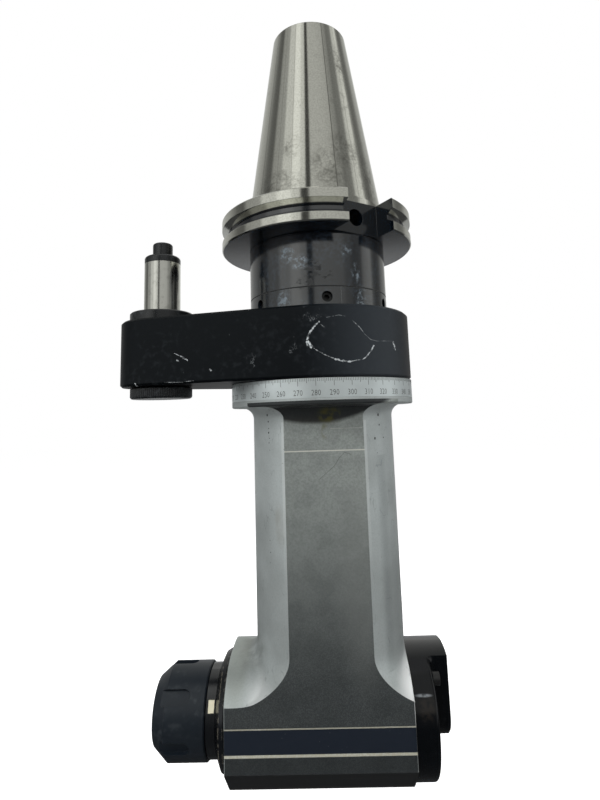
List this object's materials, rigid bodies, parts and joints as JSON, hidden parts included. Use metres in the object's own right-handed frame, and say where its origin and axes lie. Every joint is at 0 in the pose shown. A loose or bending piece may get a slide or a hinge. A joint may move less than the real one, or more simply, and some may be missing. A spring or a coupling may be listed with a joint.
{
  "type": "right angle head",
  "caption": "Right angle milling head: steep taper shank, graduated swivel with stop arm and sprung pin, cast column and a cross spindle with a collet nut.",
  "frame": {"origin": "centre of the taper's gauge line on the shank axis", "axes": "+Z along the shank towards the taper's small end, -X along the cross spindle towards the collet, -Y towards the front face"},
  "size_m": [0.1515, 0.0984, 0.369],
  "materials": {
    "ground_steel": "ground, satin",
    "black_steel": "black oxide, satin",
    "cast_paint": "silver paint on the casting, machined faces",
    "satin_steel": "satin with filled marks",
    "inner_steel": "machined",
    "screw_steel": "blackened",
    "seal_rubber": "matt",
    "bronze": "machined"
  },
  "bodies": {
    "arm": {"stop_arm": "black_steel", "arm_seal": "seal_rubber", "arm_clamp_screws": "screw_steel", "clamp_tee_nuts": "screw_steel", "pin_collar": "black_steel", "pin_sleeve": "ground_steel", "pin_sleeve_cap": "black_steel", "plunger_spring": "inner_steel", "thumb_cap": "black_steel"},
    "plunger": {"pin_plunger": "ground_steel"},
    "housing": {"housing": "cast_paint", "bearing_retainer": "inner_steel", "scale_ring": "satin_steel", "scale_ring_screws": "screw_steel", "upper_bearing_outer": "inner_steel", "upper_bearing_balls": "inner_steel", "lower_bearing_outer": "inner_steel", "lower_bearing_balls": "inner_steel", "lower_circlips": "inner_steel", "front_bearing_outer": "inner_steel", "front_bearing_balls": "inner_steel", "front_bearing_cap": "black_steel", "front_seal": "seal_rubber", "rear_bearing_outer": "inner_steel", "rear_bearing_balls": "inner_steel", "rear_cover": "black_steel", "rear_cover_screws": "screw_steel", "coolant_bush": "bronze", "coolant_plug": "screw_steel"},
    "shank": {"taper_shank": "ground_steel", "input_shaft": "inner_steel", "input_key": "inner_steel", "shank_lock_nut": "inner_steel", "upper_bearing_inner": "inner_steel", "lower_bearing_inner": "inner_steel", "drive_gear": "inner_steel", "drive_gear_key": "inner_steel", "drive_gear_screw": "screw_steel"},
    "timing": {"timing_ring": "black_steel", "timing_screws": "screw_steel"},
    "output": {"output_spindle": "black_steel", "output_gear": "inner_steel", "output_gear_key": "inner_steel", "spindle_lock_nut": "inner_steel", "spindle_circlips": "inner_steel", "front_bearing_inner": "inner_steel", "rear_bearing_inner": "inner_steel"},
    "collet": {"collet": "ground_steel"},
    "nut": {"collet_nut": "black_steel"}
  },
  "joints": [
    {"name": "head_swivel", "type": "hinge", "parent": "arm", "child": "housing", "pos_m": [0, 0, 0], "axis": [0, 0, 1], "continuous": true},
    {"name": "shank_spin", "type": "hinge", "parent": "housing", "child": "shank", "pos_m": [0, 0, 0], "axis": [0, 0, 1], "continuous": true},
    {"name": "output_spin", "type": "hinge", "parent": "housing", "child": "output", "pos_m": [0, 0, -0.2375], "axis": [1, 0, 0], "continuous": true},
    {"name": "timing_set", "type": "hinge", "parent": "shank", "child": "timing", "pos_m": [0, 0, 0], "axis": [0, 0, 1], "range_deg": [-30, 30]},
    {"name": "plunger_press", "type": "slide", "parent": "arm", "child": "plunger", "axis": [0, 0, -1], "range_m": [0, 0.005], "stiffness_N_per_m": 800, "springref_m": -0.01, "deforming": ["plunger_spring"]},
    {"name": "collet_slide", "type": "slide", "parent": "output", "child": "collet", "axis": [-1, 0, 0], "range_m": [0, 0.00151]},
    {"name": "nut_turn", "type": "hinge", "parent": "collet", "child": "nut", "pos_m": [0, 0, -0.2375], "axis": [-1, 0, 0], "range_deg": [0, 360]}
  ],
  "couplings": [
    {"joint": "output_spin", "follows": "shank_spin", "ratio": -1},
    {"joint": "collet_slide", "follows": "nut_turn", "m_per_rad": 0.00023873}
  ]
}
